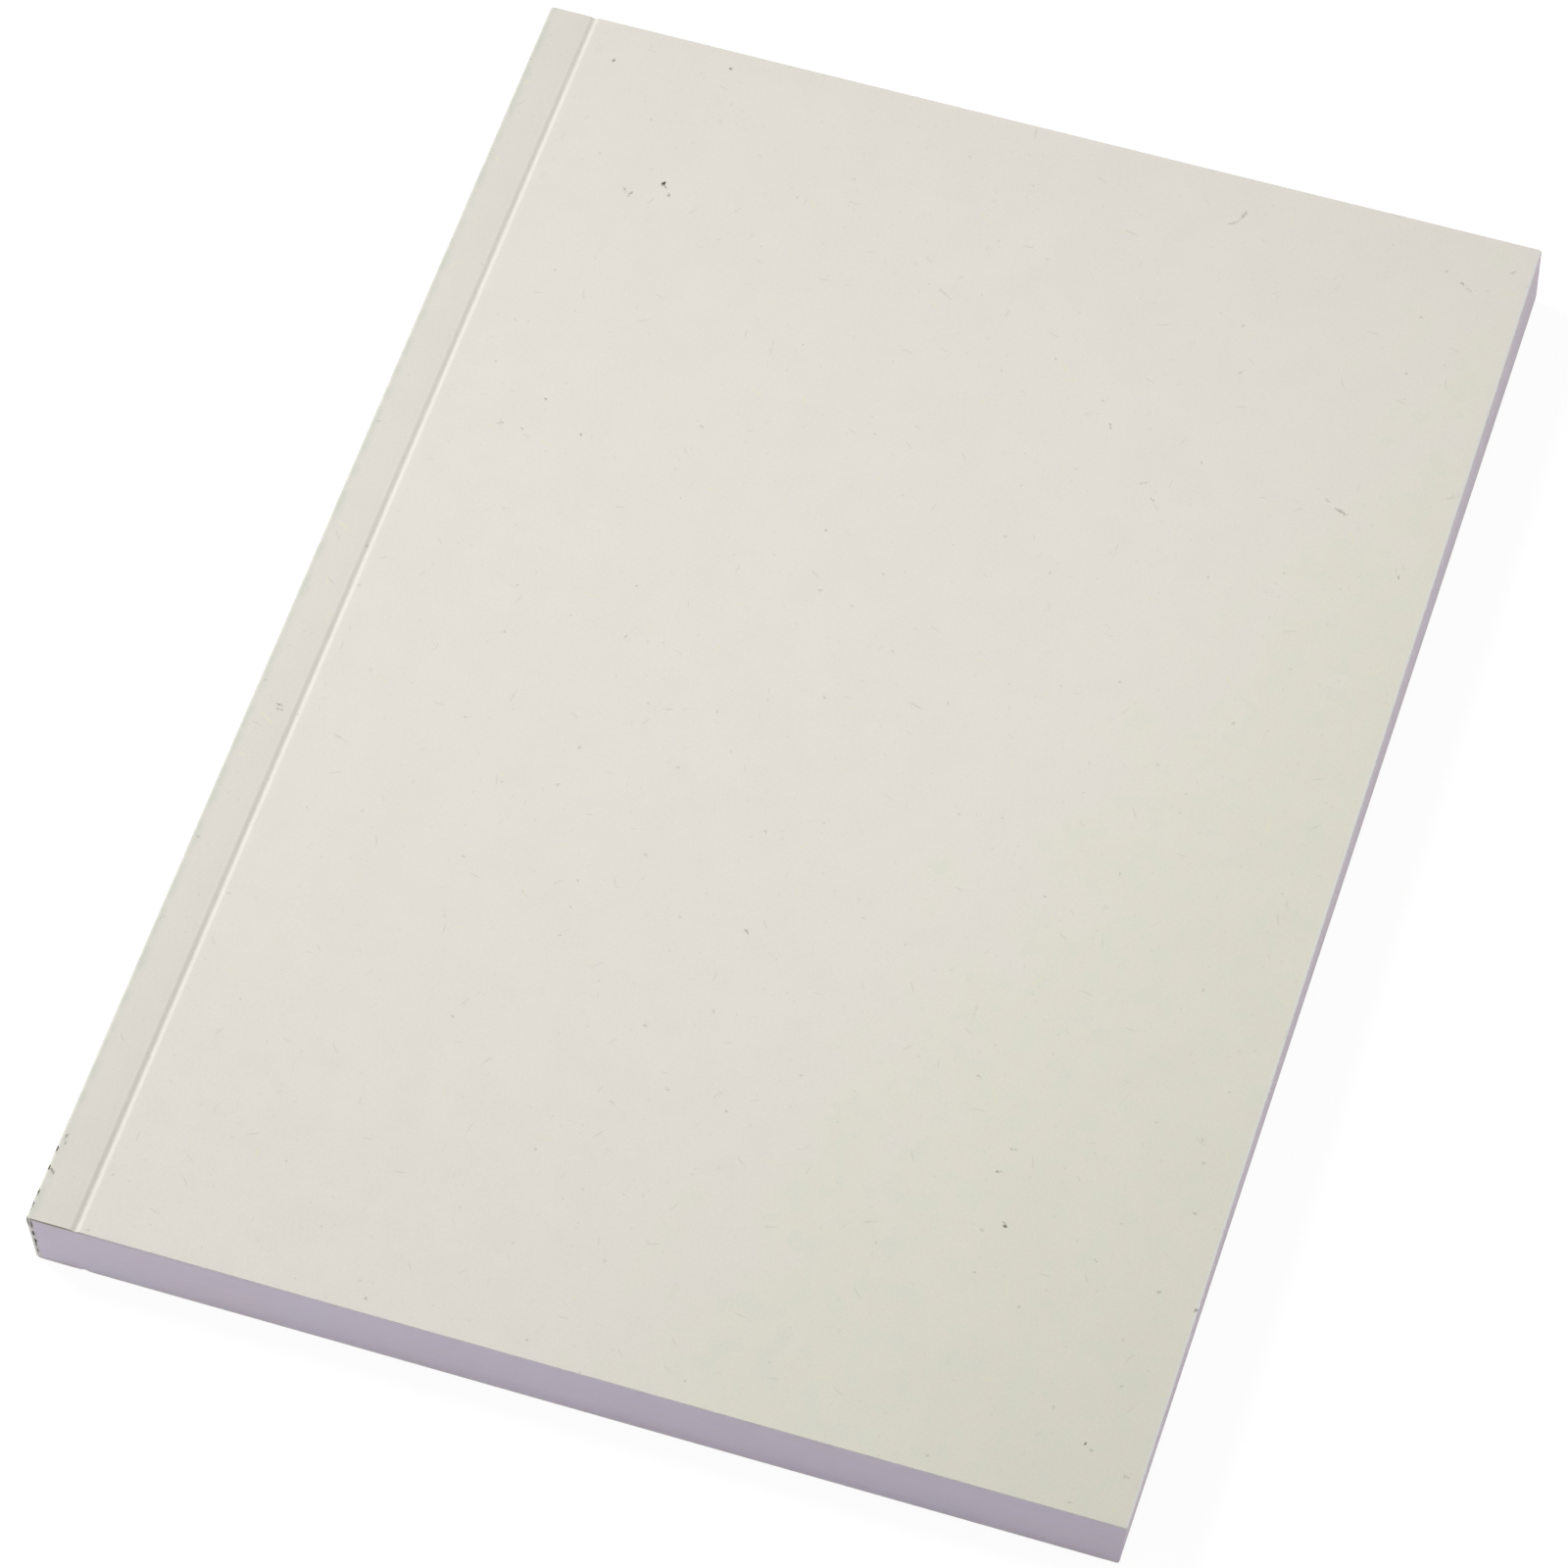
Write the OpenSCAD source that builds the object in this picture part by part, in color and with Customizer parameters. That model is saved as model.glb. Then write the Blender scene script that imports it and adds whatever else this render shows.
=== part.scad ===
// Softcover notebook, perfect bound: a block of loose leaves glued along its milled back into
// one sheet of card that wraps round it as front cover, spine and back cover.
// It lies on its back cover. X runs from the spine to the fore edge, Y from the tail to the
// head, Z up through the front cover. The origin is in the middle of the resting face.
// Lengths are in millimetres.

/* [Book] */
// Height of the trimmed book, from tail to head
book_height = 210; // [150:1:300]
// Width of the closed book, from the outside of the spine to the fore edge
book_width = 148; // [105:1:215]
// Number of leaves in the page block
leaf_count = 96; // [60:4:160]
// Thickness of one leaf
leaf_thickness = 0.1; // [0.08:0.01:0.14]

/* [Cover] */
// Thickness of the cover card
card_thickness = 0.35; // [0.25:0.05:0.5]
// Inside radius of the two folds along the spine
fold_radius = 0.25; // [0.1:0.05:0.5]
// Distance from the outside of the spine to the middle of the hinge crease
crease_offset = 6.5; // [5:0.5:12]
// Width of the groove pressed along the hinge crease
crease_width = 1; // [0.6:0.1:1.4]
// Depth of the groove pressed along the hinge crease
crease_depth = 0.15; // [0.05:0.01:0.2]

/* [Binding] */
// Thickness of the adhesive between the spine and the back of the page block
spine_glue_thickness = 0.5; // [0.3:0.1:1]
// Thickness of the adhesive film between each hinge strip and the page block
side_glue_thickness = 0.1; // [0.05:0.05:0.2]
// Length of each hinge strip, measured from its crease, that the adhesive leaves free
side_glue_margin = 1; // [0.8:0.1:1.5]
// Distance between the notches milled across the back of the page block
notch_pitch = 5; // [4:0.5:10]
// Width of one notch
notch_width = 0.8; // [0.4:0.1:1.2]
// Depth of one notch
notch_depth = 0.6; // [0.3:0.1:0.9]
// Least length of plain back between an end of the block and its nearest notch
notch_end_margin = 3; // [2:0.5:8]

/* [Hidden] */
$fn = 48;

// A cut reaches this far past the face that it opens.
cut_over = 1;

block_thickness = leaf_count * leaf_thickness;
book_thickness = block_thickness + 2 * (card_thickness + side_glue_thickness);

spine_x = -book_width / 2;
fore_edge_x = book_width / 2;
crease_x = spine_x + crease_offset;
block_back_x = spine_x + card_thickness + spine_glue_thickness;
block_bottom_z = card_thickness + side_glue_thickness;

// The groove is part of a round bar laid along the crease.
crease_radius = (pow(crease_width / 2, 2) + pow(crease_depth, 2)) / (2 * crease_depth);

notch_count = floor((book_height - 2 * notch_end_margin - notch_width) / notch_pitch) + 1;
notch_span = (notch_count - 1) * notch_pitch;

card_colour = [0.87, 0.855, 0.82];
leaf_colour = [0.88, 0.86, 0.89];
glue_colour = [0.78, 0.74, 0.64];

// Runs a section, drawn with X to the right and Z upwards, along the whole height of the book.
module along_book() {
    translate([0, book_height / 2, 0])
        rotate([90, 0, 0])
            linear_extrude(height = book_height)
                children();
}

// A rectangle whose two corners on the spine side are rounded.
module spine_side_section(left, bottom, width, height, radius) {
    translate([left + radius, bottom])
        square([width - radius, height]);
    translate([left, bottom + radius])
        square([width, height - 2 * radius]);
    for (corner_z = [bottom + radius, bottom + height - radius])
        translate([left + radius, corner_z])
            circle(r = radius);
}

// The space that the card encloses, from the inside of the spine to section_end.
module enclosed_section(section_end) {
    inside_x = spine_x + card_thickness;
    spine_side_section(
        inside_x,
        card_thickness,
        section_end - inside_x,
        book_thickness - 2 * card_thickness,
        fold_radius
    );
}

// The pressed groove of the hinge crease, on the face of the card at surface_z.
// side is 1 for the front of the book and -1 for its back.
module crease_groove(surface_z, side) {
    translate([crease_x, surface_z + side * (crease_radius - crease_depth)])
        circle(r = crease_radius);
}

// The trimmed leaves, as one solid, with their back milled and notched to take the adhesive.
module page_block() {
    color(leaf_colour)
        difference() {
            translate([block_back_x, -book_height / 2, block_bottom_z])
                cube([fore_edge_x - block_back_x, book_height, block_thickness]);
            for (i = [0 : notch_count - 1])
                translate([
                    block_back_x - cut_over,
                    i * notch_pitch - notch_span / 2 - notch_width / 2,
                    block_bottom_z - cut_over
                ])
                    cube([notch_depth + cut_over, notch_width, block_thickness + 2 * cut_over]);
        }
}

// Hot-melt adhesive: it fills the fold of the card, the milled notches and a thin film up each
// side of the block, and stops short of the creases.
module spine_adhesive() {
    color(glue_colour)
        difference() {
            along_book()
                enclosed_section(crease_x - side_glue_margin);
            page_block();
        }
}

// The middle of the card sheet: the spine, its two folds and the two glued hinge strips.
module spine_cover() {
    color(card_colour)
        along_book()
            difference() {
                spine_side_section(
                    spine_x,
                    0,
                    crease_offset,
                    book_thickness,
                    fold_radius + card_thickness
                );
                enclosed_section(crease_x + cut_over);
                crease_groove(book_thickness, 1);
                crease_groove(0, -1);
            }
}

// One opening leaf of the card sheet, from its crease to the fore edge.
module cover_leaf(bottom_z, groove_z, side) {
    color(card_colour)
        along_book()
            difference() {
                translate([crease_x, bottom_z])
                    square([fore_edge_x - crease_x, card_thickness]);
                crease_groove(groove_z, side);
            }
}

module front_cover() {
    cover_leaf(book_thickness - card_thickness, book_thickness, 1);
}

module back_cover() {
    cover_leaf(0, 0, -1);
}

page_block();
spine_adhesive();
spine_cover();
front_cover();
back_cover();
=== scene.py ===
# %% [markdown]
# # A softcover notebook
# The real object is a perfect-bound notebook: 96 loose leaves, milled and notched along their
# back, glued into one sheet of recycled off-white card that wraps round them as back cover, spine
# and front cover, and then trimmed flush on three sides.
# The CAD model already fixes every size. It could be dressed as it is, with new materials only,
# but then the edges would be razor sharp, the crease a plain hollow and the block one slab.
# So the CAD model is loaded as a frame that never moves, and each piece is built again in place.

# %% Load the frame
import math

import bmesh
import bpy
from mathutils import Matrix, Vector


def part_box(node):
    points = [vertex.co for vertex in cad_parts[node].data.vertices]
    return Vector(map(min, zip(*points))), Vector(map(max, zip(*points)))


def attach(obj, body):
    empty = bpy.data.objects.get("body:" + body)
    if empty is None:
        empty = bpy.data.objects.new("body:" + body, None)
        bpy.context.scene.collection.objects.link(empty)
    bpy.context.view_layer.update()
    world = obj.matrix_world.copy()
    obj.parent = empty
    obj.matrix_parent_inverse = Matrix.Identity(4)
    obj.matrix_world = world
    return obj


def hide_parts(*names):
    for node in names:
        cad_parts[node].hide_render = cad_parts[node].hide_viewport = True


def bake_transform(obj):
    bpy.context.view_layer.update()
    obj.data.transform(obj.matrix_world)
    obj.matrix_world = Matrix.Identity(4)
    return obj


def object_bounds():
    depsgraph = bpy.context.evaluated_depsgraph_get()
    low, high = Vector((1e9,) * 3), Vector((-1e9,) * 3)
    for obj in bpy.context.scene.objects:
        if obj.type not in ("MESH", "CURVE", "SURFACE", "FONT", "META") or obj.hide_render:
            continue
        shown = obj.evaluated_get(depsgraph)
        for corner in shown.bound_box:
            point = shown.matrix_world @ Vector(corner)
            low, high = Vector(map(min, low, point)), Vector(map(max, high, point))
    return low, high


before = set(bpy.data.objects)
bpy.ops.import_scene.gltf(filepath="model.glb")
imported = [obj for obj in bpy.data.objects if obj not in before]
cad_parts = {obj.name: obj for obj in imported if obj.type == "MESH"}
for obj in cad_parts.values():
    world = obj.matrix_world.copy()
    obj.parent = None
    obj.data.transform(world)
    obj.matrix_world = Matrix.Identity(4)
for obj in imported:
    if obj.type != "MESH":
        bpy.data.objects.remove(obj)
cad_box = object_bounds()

MM = 0.001
print("CAD box, mm:", [[round(c / MM, 2) for c in corner] for corner in cad_box])

# %% [markdown]
# # Sizes
# A bookbinder measures the finished block and cuts the card to it. Here each size is read from
# the box of a CAD node, so nothing is typed twice and the pieces always sit on what carries them.
# X runs from the spine to the fore edge, Y from the tail to the head, and Z up.

# %% Read the sizes from the CAD nodes
block_low, block_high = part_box("page_block")
spine_low, spine_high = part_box("spine_cover")
flap_low, flap_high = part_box("front_cover")
glue_low, glue_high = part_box("spine_adhesive")

spine_x = spine_low.x
fore_x = flap_high.x
crease_x = flap_low.x
tail_y = flap_low.y
head_y = flap_high.y
top_z = spine_high.z
middle_z = top_z / 2
card = flap_high.z - flap_low.z
fold_radius = 0.6 * MM
seam_x = crease_x - 1.5 * MM
print("card, mm:", round(card / MM, 3), "crease at", round(crease_x / MM, 2))

# %% [markdown]
# # Working by hand, in code
# Every operator acts on what is selected. Loading the frame leaves the CAD nodes selected, so the
# first habit is to select nothing, then one piece. In edit mode faces, edges and points are
# picked by where they are or which way they look, because a script has no mouse.

# %% Helpers for modelling


def take(piece):
    """Leaves edit mode and makes one piece the only selected object."""
    if bpy.context.object and bpy.context.object.mode != "OBJECT":
        bpy.ops.object.mode_set(mode="OBJECT")
    bpy.ops.object.select_all(action="DESELECT")
    piece.select_set(True)
    bpy.context.view_layer.objects.active = piece


def add_slab(name, low, high):
    """Adds a cube at the size and place of a slab of material."""
    low = Vector(low)
    high = Vector(high)
    bpy.ops.object.select_all(action="DESELECT")
    bpy.ops.mesh.primitive_cube_add(
        size=1, calc_uvs=False, location=(low + high) / 2, scale=high - low
    )
    piece = bpy.context.object
    piece.name = name
    piece.data.name = name
    bpy.ops.object.transform_apply(location=True, rotation=True, scale=True)
    return piece


def open_up(piece):
    """Goes into edit mode on one piece."""
    take(piece)
    bpy.ops.object.mode_set(mode="EDIT")


def pick(piece, kind, test):
    """Selects the points, edges or faces that pass a test."""
    bpy.ops.mesh.select_mode(type=kind)
    bpy.ops.mesh.select_all(action="DESELECT")
    shape = bmesh.from_edit_mesh(piece.data)
    parts = {"VERT": shape.verts, "EDGE": shape.edges, "FACE": shape.faces}[kind]
    found = [part for part in parts if test(part)]
    for part in found:
        part.select_set(True)
    shape.select_flush_mode()
    bmesh.update_edit_mesh(piece.data)
    return len(found)


def cut_across(piece, normal, places, test=lambda face: True):
    """Cuts through the open piece, or those of its faces that pass a test, along an axis."""
    normal = Vector(normal)
    for place in places:
        pick(piece, "FACE", test)
        bpy.ops.mesh.bisect(plane_co=normal * place, plane_no=normal, threshold=1e-7)


def near(value, place):
    """True within two thousandths of a millimetre."""
    return abs(value - place) < 0.002 * MM


def edge_middle(edge):
    return (edge.verts[0].co + edge.verts[1].co) / 2


def is_sharp(edge, degrees=60):
    return len(edge.link_faces) == 2 and edge.calc_face_angle() > math.radians(degrees)


def apply_all(piece):
    take(piece)
    for modifier in list(piece.modifiers):
        bpy.ops.object.modifier_apply(modifier=modifier.name)


def count(piece):
    triangles = sum(len(face.vertices) - 2 for face in piece.data.polygons)
    print(piece.name, "has", triangles, "triangles")


# %% [markdown]
# # Front cover
# One cover leaf is a flat sheet with a groove pressed beside the spine, where it opens. A Boolean
# with a round bar would cut the groove, but a real one is pressed: the card is pushed down, its
# rims stay round, and a low bead shows inside. So rows are cut across the crease and the middle
# row is pushed down with proportional editing, once over a narrow reach and once over a wide one.
# The inside is pushed less, because pressing also makes the card thinner.
# The piece starts a little on the spine's side of the crease.

# The groove's lowest line lies a little further from the spine than the crease of the CAD model.

# %% Press the crease
RIM = 0.045 * MM
GROOVE_SHIFT = 0.28 * MM
groove_x = crease_x + GROOVE_SHIFT


def rows_for_the_crease():
    """Places at which the card is cut, closer together where it is pressed."""
    fine = [step * 0.05 for step in range(-17, 18)]
    coarse = [side * step * 0.1 for side in (-1, 1) for step in range(9, 15)]
    wide = [4, 8, 13, 19, 26, 34, 60, 100]
    return [groove_x + row * MM for row in sorted(fine + coarse + wide)]


def press_down(piece, test, depth, reach):
    pick(piece, "VERT", test)
    bpy.ops.transform.translate(
        value=(0, 0, -depth),
        use_proportional_edit=True,
        proportional_edit_falloff="SMOOTH",
        proportional_size=reach,
    )


def press_one_face(piece, on_top, depth, reach):
    """Presses the middle row of the upper or the lower face; the other face is hidden meanwhile."""
    middle = top_z - card / 2
    pick(piece, "VERT", lambda point: (point.co.z > middle) != on_top)
    bpy.ops.mesh.hide(unselected=False)
    press_down(piece, lambda point: near(point.co.x, groove_x) and not point.hide, depth, reach)
    bpy.ops.mesh.reveal(select=False)


front = add_slab("front_cover_card", (seam_x, tail_y, top_z - card), (fore_x, head_y, top_z))
open_up(front)
cut_across(front, (1, 0, 0), rows_for_the_crease())
# which face (True for the upper one), depth and reach in millimetres
PRESSES = ((False, 0.07, 0.90), (True, 0.03, 1.40), (True, 0.24, 0.74))
for on_top, depth, reach in PRESSES:
    press_one_face(front, on_top, depth * MM, reach * MM)
bead = min(point.co.z for point in bmesh.from_edit_mesh(front.data).verts)
print("bottom of the bead, mm:", round(bead / MM, 3))

# Away from the glued strip, the card lies down on the first leaf.
DIP = 0.07 * MM
press_down(front, lambda point: point.co.x > crease_x + 33 * MM, DIP, 30 * MM)

# %% [markdown]
# # Trimmed rims
# A guillotine leaves the card with crisp rims, but fingers soon take the sharpness off. Without
# any rounding the rims would not catch the light. The corners at the fore edge get a wider
# rounding than the long rims, and the seam towards the spine stays square.

# %% Round the rims


def round_rims(piece, corner=None):
    """Rounds the piece's sharp edges, but not those at the seam."""
    if corner:
        pick(
            piece,
            "EDGE",
            lambda edge: near(edge.verts[0].co.x, fore_x)
            and near(edge.verts[1].co.x, fore_x)
            and near(edge.verts[0].co.y, edge.verts[1].co.y)
            and is_sharp(edge),
        )
        bpy.ops.mesh.bevel(offset=corner, segments=3, affect="EDGES")
    found = pick(
        piece,
        "EDGE",
        lambda edge: is_sharp(edge, 40) and not near(edge_middle(edge).x, seam_x),
    )
    bpy.ops.mesh.bevel(offset=RIM, segments=2, affect="EDGES", clamp_overlap=False)
    bpy.ops.object.mode_set(mode="OBJECT")
    print(piece.name, "had", found, "edges rounded")


round_rims(front, corner=0.3 * MM)
count(front)

# %% [markdown]
# # Back cover
# The back cover is the front cover seen in a mirror. It is a copy with its own mesh, turned over
# about the middle of the book. A mirrored shape is inside out, so its normals are recalculated.

# %% Mirror the front cover
take(front)
bpy.ops.object.duplicate(linked=False)
back = bpy.context.object
back.name = "back_cover_card"
back.data.name = "back_cover_card"
open_up(back)
bpy.ops.mesh.select_all(action="SELECT")
bpy.ops.transform.resize(value=(1, 1, -1), center_override=(0, 0, middle_z))
bpy.ops.mesh.normals_make_consistent(inside=False)
bpy.ops.object.mode_set(mode="OBJECT")
count(back)

# %% [markdown]
# # Spine
# The spine and its two folds are the same sheet, bent twice. A bent sheet is easiest as its outer
# skin: a slab has its two long edges rounded, its open sides deleted, and Solidify gives the skin
# the thickness of the card, so that inside and outside of the fold share one centre.

# %% Fold the spine
spine = add_slab("spine_card", (spine_x, tail_y, 0), (seam_x, head_y, top_z))
open_up(spine)
pick(
    spine,
    "EDGE",
    lambda edge: near(edge.verts[0].co.x, spine_x)
    and near(edge.verts[1].co.x, spine_x)
    and abs(edge.verts[0].co.y - edge.verts[1].co.y) > 1 * MM,
)
bpy.ops.mesh.bevel(offset=fold_radius, segments=8, affect="EDGES")
pick(spine, "FACE", lambda face: face.normal.x > 0.9 or abs(face.normal.y) > 0.9)
bpy.ops.mesh.delete(type="FACE")
bpy.ops.object.mode_set(mode="OBJECT")
thickness = spine.modifiers.new("card_thickness", "SOLIDIFY")
thickness.thickness = card
thickness.offset = -1
thickness.use_even_offset = True
apply_all(spine)
open_up(spine)
round_rims(spine)
count(spine)

# %% [markdown]
# # Adhesive
# Hot-melt adhesive fills the fold of the card, the notches in the block and a thin film up each
# side. It could be cut from a slab by the block, but it is clean to build directly: a plate down
# the back, a film drawn out of it above and below, and a tooth pushed into every notch.

# %% Pour the adhesive
NOTCH_PITCH = 5 * MM
NOTCH_WIDTH = 0.8 * MM
NOTCH_DEPTH = 0.6 * MM
NOTCH_DRAFT = 0.02 * MM
notch_middles = [step * NOTCH_PITCH for step in range(-20, 21)]


def notch_cuts():
    """Where each notch starts and ends, with a small draft on its two walls."""
    half = NOTCH_WIDTH / 2
    walls = (-half, -half + NOTCH_DRAFT, half - NOTCH_DRAFT, half)
    return [middle + wall for middle in notch_middles for wall in walls]


def in_a_notch(y):
    return any(abs(y - middle) < NOTCH_WIDTH / 2 - NOTCH_DRAFT / 2 for middle in notch_middles)


glue = add_slab("binding_glue", glue_low, (block_low.x, head_y, glue_high.z))
open_up(glue)
cut_across(glue, (0, 0, 1), (block_low.z, block_high.z))
pick(
    glue,
    "FACE",
    lambda face: face.normal.x > 0.9
    and not block_low.z < face.calc_center_median().z < block_high.z,
)
bpy.ops.mesh.extrude_region_move(
    TRANSFORM_OT_translate={"value": (glue_high.x - block_low.x, 0, 0)}
)
cut_across(glue, (0, 1, 0), notch_cuts())
teeth = pick(
    glue,
    "VERT",
    lambda point: near(point.co.x, block_low.x) and in_a_notch(point.co.y)
    and block_low.z - 0.01 * MM < point.co.z < block_high.z + 0.01 * MM,
)
bpy.ops.transform.translate(value=(NOTCH_DEPTH, 0, 0))
bpy.ops.object.mode_set(mode="OBJECT")
print("adhesive teeth have", teeth, "points")
count(glue)

# %% [markdown]
# # Leaves
# The block is a stack of 96 leaves. It could be one box with a striped material, but the stripes
# would vanish in a raking light. So one leaf is cut as a band with a tiny chamfer above and below,
# notched at its back, and stacked by an Array modifier. The chamfers meet as fine grooves.

# %% Cut one leaf
LEAVES = 96
leaf = (block_high.z - block_low.z) / LEAVES
CHAMFER = 0.012 * MM
leaves = add_slab("trimmed_leaves", block_low, (block_high.x, head_y, block_low.z + leaf))
open_up(leaves)
pick(leaves, "FACE", lambda face: abs(face.normal.z) > 0.9)
bpy.ops.mesh.delete(type="ONLY_FACE")
cut_across(leaves, (0, 0, 1), (block_low.z + CHAMFER, block_low.z + leaf - CHAMFER))
pick(
    leaves,
    "EDGE",
    lambda edge: near(edge.verts[0].co.z, edge.verts[1].co.z)
    and not near(edge_middle(edge).x, block_low.x),
)
bpy.ops.mesh.subdivide(number_cuts=24)
cut_across(leaves, (0, 1, 0), notch_cuts(), lambda face: face.normal.x < -0.9)
pick(
    leaves,
    "VERT",
    lambda point: near(point.co.x, block_low.x) and in_a_notch(point.co.y),
)
bpy.ops.transform.translate(value=(NOTCH_DEPTH, 0, 0))
block_middle = (block_low + block_high) / 2
block_size = block_high - block_low
pick(leaves, "VERT", lambda point: point.is_boundary)
bpy.ops.transform.resize(
    value=(1 - 2 * CHAMFER / block_size.x, 1 - 2 * CHAMFER / block_size.y, 1),
    center_override=block_middle,
)
bpy.ops.object.mode_set(mode="OBJECT")

# %% Stack the leaves
stack = leaves.modifiers.new("stack", "ARRAY")
stack.count = LEAVES
stack.use_relative_offset = False
stack.use_constant_offset = True
stack.constant_offset_displace = (0, 0, leaf)
stack.use_merge_vertices = True
stack.merge_threshold = 0.002 * MM
apply_all(leaves)
open_up(leaves)
for end_z in (block_low.z, block_high.z):
    pick(leaves, "EDGE", lambda edge: edge.is_boundary and near(edge_middle(edge).z, end_z))
    bpy.ops.mesh.edge_face_add()
bpy.ops.mesh.select_all(action="SELECT")
bpy.ops.mesh.normals_make_consistent(inside=False)
bpy.ops.object.mode_set(mode="OBJECT")

# %% [markdown]
# No two leaves are trimmed quite alike. A Displace modifier with a cloud texture moves their edges
# by a few thousandths of a millimetre. An Empty, flattened in Z, stretches the clouds along the
# leaves, so that each leaf differs from its neighbour but stays true along its own edge.

# %% Make the trimmed edges uneven
bpy.ops.object.select_all(action="DESELECT")
bpy.ops.object.empty_add(location=block_middle)
clouds_space = bpy.context.object
clouds_space.scale = (20 * MM, 20 * MM, 0.1 * MM)
bpy.context.view_layer.update()
clouds = bpy.data.textures.new("leaf_unevenness", "CLOUDS")
clouds.noise_scale = 1
clouds.noise_depth = 1
for direction in ("X", "Y"):
    uneven = leaves.modifiers.new("uneven", "DISPLACE")
    uneven.texture = clouds
    uneven.texture_coords = "OBJECT"
    uneven.texture_coords_object = clouds_space
    uneven.mid_level = 0.5
    uneven.strength = 0.015 * MM
    uneven.direction = direction
apply_all(leaves)
bpy.data.objects.remove(clouds_space)
count(leaves)

# %% [markdown]
# # Reading a place on the card
# The card bends at its creases when the covers open, so a pattern tied to the object's space would
# slide over it. A map of the flat sheet is laid on all three pieces instead: u runs from the back
# cover over the spine to the front, and v from the tail to the head, both in metres. The inside
# of the card takes its u further along, so that it shows another part of the pattern.

# %% Lay the flat sheet's map
MAP_START = 0.2
INSIDE_SHIFT = 0.4


def unrolled(point):
    """Distance along the flat sheet from the middle of the spine, below 0 towards the back."""
    side = 1 if point.z > middle_z else -1
    height = abs(point.z - middle_z)
    straight = middle_z - fold_radius
    centre_x = spine_x + fold_radius
    if point.x >= centre_x:
        return side * (straight + fold_radius * math.pi / 2 + point.x - centre_x)
    if height <= straight:
        return side * height
    return side * (straight + fold_radius * math.atan2(height - straight, centre_x - point.x))


def face_kind(face):
    """Tells the outside of the card, its inside and its trimmed rim apart."""
    if abs(face.normal.y) > 0.9 or face.normal.x > 0.9 and face.center.x > fore_x - 1 * MM:
        return "rim"
    outwards = Vector((-1, 0, 0))
    if face.center.x > spine_x + fold_radius:
        outwards = Vector((0, 0, 1 if face.center.z > middle_z else -1))
    elif abs(face.center.z - middle_z) > middle_z - fold_radius:
        outwards = Vector((-1, 0, 1 if face.center.z > middle_z else -1))
    return "inside" if face.normal.dot(outwards) < -0.2 else "outside"


def lay_map(piece):
    layer = piece.data.uv_layers.new(name="sheet")
    found = {"rim": 0, "inside": 0, "outside": 0}
    for face in piece.data.polygons:
        kind = face_kind(face)
        found[kind] += 1
        face.material_index = 1 if kind == "rim" else 0
        for corner in face.loop_indices:
            point = piece.data.vertices[piece.data.loops[corner].vertex_index].co
            along = unrolled(point)
            up = point.y - tail_y
            if kind == "rim":
                depth = min(abs(point.z - top_z), abs(point.z))
                if point.x < spine_x + fold_radius:
                    depth = point.x - spine_x
                up += depth * (1 if face.normal.y > 0.9 else -1)
            if kind == "inside":
                along += INSIDE_SHIFT
            layer.data[corner].uv = (MAP_START + along, up)
    print(piece.name, "faces:", found)


for piece in (front, back, spine):
    lay_map(piece)

# %% [markdown]
# # Materials, in nodes
# A finish is a small chain of nodes: where am I, in millimetres; what is here; what colour does
# that give. Three helpers keep the chains readable: one adds a node and feeds it, one does sums,
# and one mixes two colours.

# %% Helpers for nodes


def put(tree, kind, feeds=None, **settings):
    """Adds a node, sets it up, and feeds its inputs with numbers or with other nodes' outputs."""
    node = tree.nodes.new("ShaderNode" + kind)
    for name, value in settings.items():
        setattr(node, name, value)
    for socket, value in (feeds or {}).items():
        if isinstance(value, bpy.types.NodeSocket):
            tree.links.new(value, node.inputs[socket])
        else:
            node.inputs[socket].default_value = value
    return node


def sums(tree, operation, *values):
    return put(tree, "Math", dict(enumerate(values)), operation=operation).outputs[0]


def mix(tree, factor, first, second, kind="MIX"):
    """Mixes two colours; factor 0 gives the first."""
    node = put(tree, "Mix", {0: factor, 6: first, 7: second}, data_type="RGBA", blend_type=kind)
    return node.outputs[2]


def paint(red, green, blue):
    """A screen colour from 0 to 255 as the linear colour that a node takes."""
    linear = []
    for level in (red, green, blue):
        share = level / 255
        linear.append(share / 12.92 if share <= 0.04045 else ((share + 0.055) / 1.055) ** 2.4)
    return (*linear, 1)


def new_finish(name, roughness, specular):
    """A material, its node tree, and its shader with the plain numbers set on it."""
    material = bpy.data.materials.new(name)
    material.use_nodes = True
    tree = material.node_tree
    shader = tree.nodes["Principled BSDF"]
    shader.inputs["Roughness"].default_value = roughness
    shader.inputs["Specular IOR Level"].default_value = specular
    return material, tree, shader


def on_the_sheet(tree):
    """The place on the flat card, in millimetres."""
    place = put(tree, "UVMap", uv_map="sheet").outputs[0]
    return put(tree, "Mapping", {"Vector": place, "Scale": (1000, 1000, 1000)}).outputs[0]


def in_the_object(tree, scale=(1000, 1000, 1000)):
    """The place in the object's own space, in millimetres unless another scale is given."""
    place = put(tree, "TexCoord").outputs["Object"]
    return put(tree, "Mapping", {"Vector": place, "Scale": scale}).outputs[0]


def noise(tree, place, size, detail=2.0, roughness=0.5, shift=(0, 0, 0), space="3D"):
    """Soft noise from 0 to 1, with lumps about the given number of millimetres across."""
    moved = put(tree, "VectorMath", {0: place, 1: shift}, operation="ADD").outputs[0]
    feeds = {"Vector": moved, "Scale": 1 / size, "Detail": detail, "Roughness": roughness}
    return put(tree, "TexNoise", feeds, noise_dimensions=space).outputs[0]


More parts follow.
